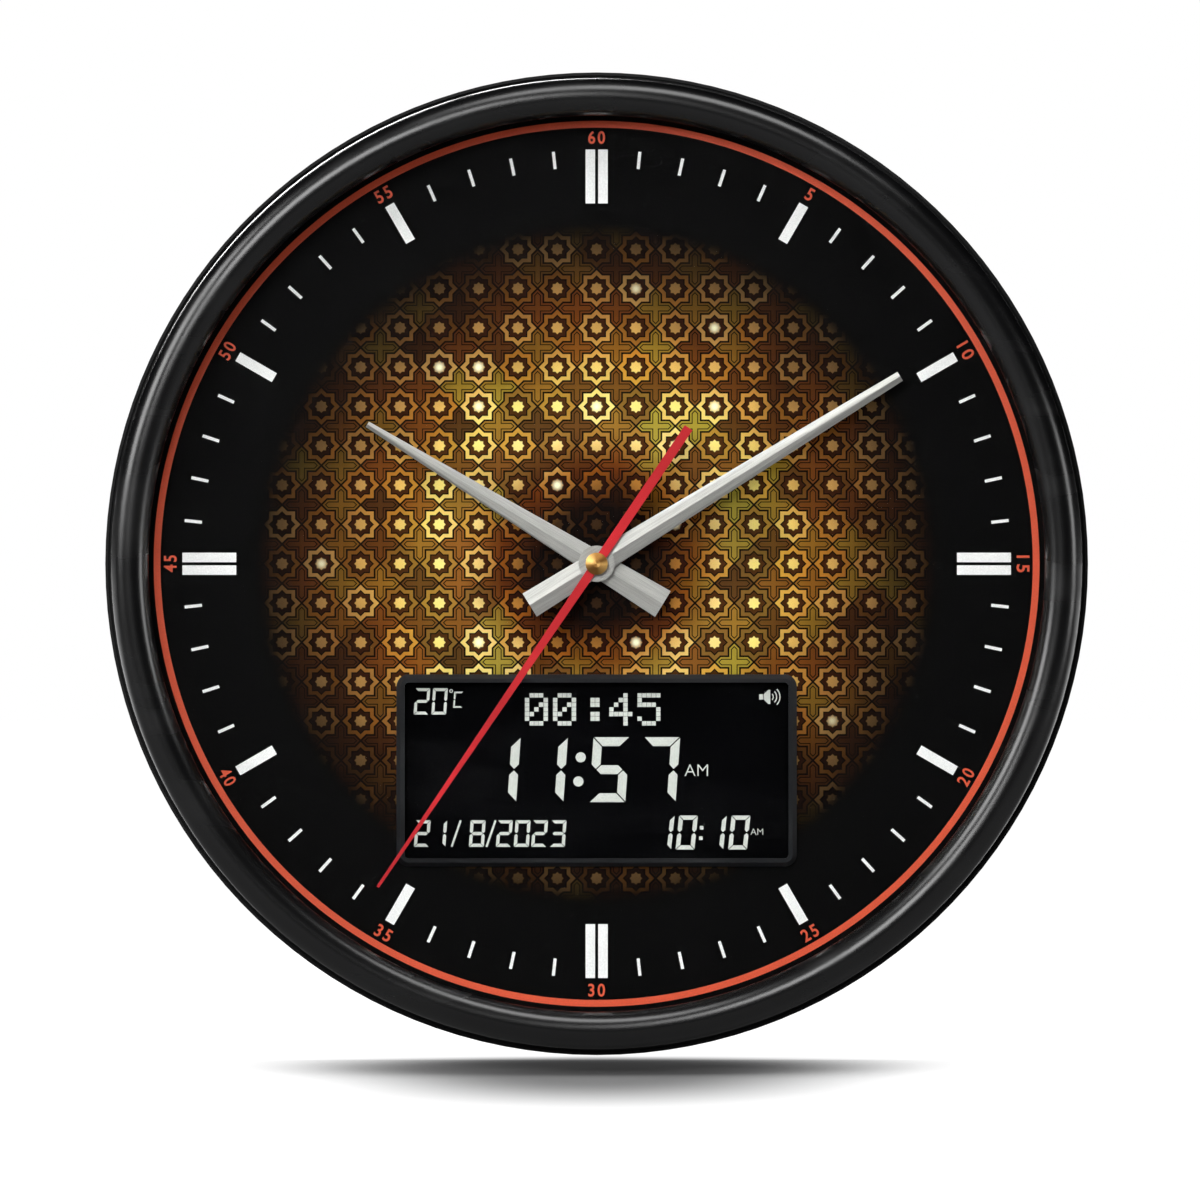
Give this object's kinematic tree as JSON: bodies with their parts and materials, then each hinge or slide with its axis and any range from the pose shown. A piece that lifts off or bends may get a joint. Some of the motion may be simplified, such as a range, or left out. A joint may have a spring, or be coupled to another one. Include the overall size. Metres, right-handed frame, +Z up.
{
  "type": "azan wall clock",
  "caption": "Round black wall clock with three hands over a patterned dial, a digital display window, a speaker, back buttons and a keyhole hanger.",
  "frame": {"origin": "on the hands' axis, in the plane of the wall that the back rim leans on", "axes": "+X to the viewer's right, +Y into the wall, +Z up; the dial faces -Y"},
  "size_m": [0.35, 0.0531, 0.35],
  "materials": {
    "case_black": "satin black moulded plastic",
    "bezel_black": "satin-gloss black moulded plastic",
    "clear_lens": "clear polished acrylic",
    "dial_print": "printed sheet, dark with warm gold pattern",
    "trim_black": "bevelled glossy black plastic",
    "window_clear": "clear pane",
    "lcd": "liquid-crystal glass, black with pale segments",
    "light_guide": "milky backlight panel",
    "board_green": "green glass-fibre circuit board",
    "chip_black": "moulded chip bodies",
    "capacitor": "sleeved cans",
    "rubber_grey": "silicone and elastomer",
    "rubber_black": "rubber washer",
    "steel": "plated steel",
    "magnet": "ferrite",
    "cone_paper": "black paper cone",
    "button_grey": "dark grey moulded button",
    "battery": "plain sleeved cell",
    "contact_metal": "nickel-plated spring steel",
    "wire": "insulated wire",
    "movement_black": "moulded movement case",
    "bridge_white": "natural moulded plastic",
    "soft_iron": "soft iron sheet",
    "bobbin": "moulded bobbin",
    "copper": "enamelled copper winding",
    "gear_white": "acetal wheel",
    "brass": "turned brass",
    "hand_silver": "brushed aluminium sheet",
    "hand_red": "crimson paint"
  },
  "bodies": {
    "clock_case": {"front_bezel": "bezel_black", "lens": "clear_lens", "rear_housing": "case_black", "dial_plate": "dial_print", "housing_screws": "steel", "inner_screws": "steel", "hanger_plate": "steel", "hanger_screws": "steel", "display_trim": "trim_black", "display_window": "window_clear", "lcd_glass": "lcd", "light_panel": "light_guide", "elastomer_connectors": "rubber_grey", "main_board": "board_green", "board_chips": "chip_black", "board_capacitors": "capacitor", "temperature_sensor": "chip_black", "speaker_frame": "steel", "speaker_magnet": "magnet", "speaker_cone": "cone_paper", "key_mat": "rubber_grey", "key_board": "board_green", "batteries": "battery", "battery_springs": "contact_metal", "battery_contacts": "contact_metal", "battery_leads": "wire", "speaker_leads": "wire", "movement_front_case": "movement_black", "movement_rear_case": "movement_black", "train_bridge": "bridge_white", "stator": "soft_iron", "coil_core": "soft_iron", "coil_bobbin": "bobbin", "coil_winding": "copper", "timer_board": "board_green", "quartz_crystal": "steel", "movement_battery": "battery", "movement_contacts": "contact_metal", "bush_washer": "rubber_black", "bush_nut": "brass"},
    "minute_group": {"minute_hand": "hand_silver", "minute_arbor": "brass", "centre_wheel": "gear_white"},
    "hour_group": {"hour_hand": "hand_silver", "hour_wheel": "gear_white"},
    "second_group": {"second_hand": "hand_red", "hand_cap": "brass", "second_wheel": "gear_white"},
    "third_group": {"third_wheel": "gear_white"},
    "intermediate_group": {"intermediate_wheel": "gear_white"},
    "rotor_group": {"rotor": "gear_white"},
    "minute_wheel_group": {"minute_wheel": "gear_white"},
    "knob_group": {"setting_knob": "movement_black"},
    "door_group": {"battery_door": "case_black"},
    "set_group": {"set_button": "button_grey"},
    "up_group": {"up_button": "button_grey"},
    "down_group": {"down_button": "button_grey"},
    "mode_group": {"mode_button": "button_grey"},
    "volume_group": {"volume_button": "button_grey"},
    "stop_group": {"stop_button": "button_grey"}
  },
  "joints": [
    {"name": "minute_spin", "type": "hinge", "parent": "clock_case", "child": "minute_group", "pos_m": [0, 0, 0], "axis": [0, 1, 0], "continuous": true},
    {"name": "hour_spin", "type": "hinge", "parent": "clock_case", "child": "hour_group", "pos_m": [0, 0, 0], "axis": [0, 1, 0], "continuous": true},
    {"name": "second_spin", "type": "hinge", "parent": "clock_case", "child": "second_group", "pos_m": [0, 0, 0], "axis": [0, 1, 0], "continuous": true},
    {"name": "third_spin", "type": "hinge", "parent": "clock_case", "child": "third_group", "pos_m": [0.00958, 0, 0.00349], "axis": [0, 1, 0], "continuous": true},
    {"name": "intermediate_spin", "type": "hinge", "parent": "clock_case", "child": "intermediate_group", "pos_m": [-0.00299, 0, 0.00822], "axis": [0, 1, 0], "continuous": true},
    {"name": "rotor_spin", "type": "hinge", "parent": "clock_case", "child": "rotor_group", "pos_m": [-0.00412, 0, 0.0146], "axis": [0, 1, 0], "continuous": true},
    {"name": "minute_wheel_spin", "type": "hinge", "parent": "clock_case", "child": "minute_wheel_group", "pos_m": [-0.00902, 0, 0.00328], "axis": [0, 1, 0], "continuous": true},
    {"name": "knob_spin", "type": "hinge", "parent": "clock_case", "child": "knob_group", "pos_m": [-0.01581, 0, 0.01007], "axis": [0, 1, 0], "continuous": true},
    {"name": "door_slide", "type": "slide", "parent": "clock_case", "child": "door_group", "axis": [0, 0, -1], "range_m": [0, 0.061]},
    {"name": "set_press", "type": "slide", "parent": "clock_case", "child": "set_group", "axis": [0, -1, 0], "range_m": [0, 0.001], "stiffness_N_per_m": 150, "deforming": ["key_mat"]},
    {"name": "up_press", "type": "slide", "parent": "clock_case", "child": "up_group", "axis": [0, -1, 0], "range_m": [0, 0.001], "stiffness_N_per_m": 150, "deforming": ["key_mat"]},
    {"name": "down_press", "type": "slide", "parent": "clock_case", "child": "down_group", "axis": [0, -1, 0], "range_m": [0, 0.001], "stiffness_N_per_m": 150, "deforming": ["key_mat"]},
    {"name": "mode_press", "type": "slide", "parent": "clock_case", "child": "mode_group", "axis": [0, -1, 0], "range_m": [0, 0.001], "stiffness_N_per_m": 150, "deforming": ["key_mat"]},
    {"name": "volume_press", "type": "slide", "parent": "clock_case", "child": "volume_group", "axis": [0, -1, 0], "range_m": [0, 0.001], "stiffness_N_per_m": 150, "deforming": ["key_mat"]},
    {"name": "stop_press", "type": "slide", "parent": "clock_case", "child": "stop_group", "axis": [0, -1, 0], "range_m": [0, 0.001], "stiffness_N_per_m": 150, "deforming": ["key_mat"]}
  ],
  "couplings": [
    {"joint": "hour_spin", "follows": "minute_spin", "ratio": 0.083333},
    {"joint": "second_spin", "follows": "minute_spin", "ratio": 60},
    {"joint": "third_spin", "follows": "minute_spin", "ratio": -8},
    {"joint": "intermediate_spin", "follows": "minute_spin", "ratio": -360},
    {"joint": "rotor_spin", "follows": "minute_spin", "ratio": 1800},
    {"joint": "minute_wheel_spin", "follows": "minute_spin", "ratio": -0.33333},
    {"joint": "knob_spin", "follows": "minute_spin", "ratio": 1}
  ]
}
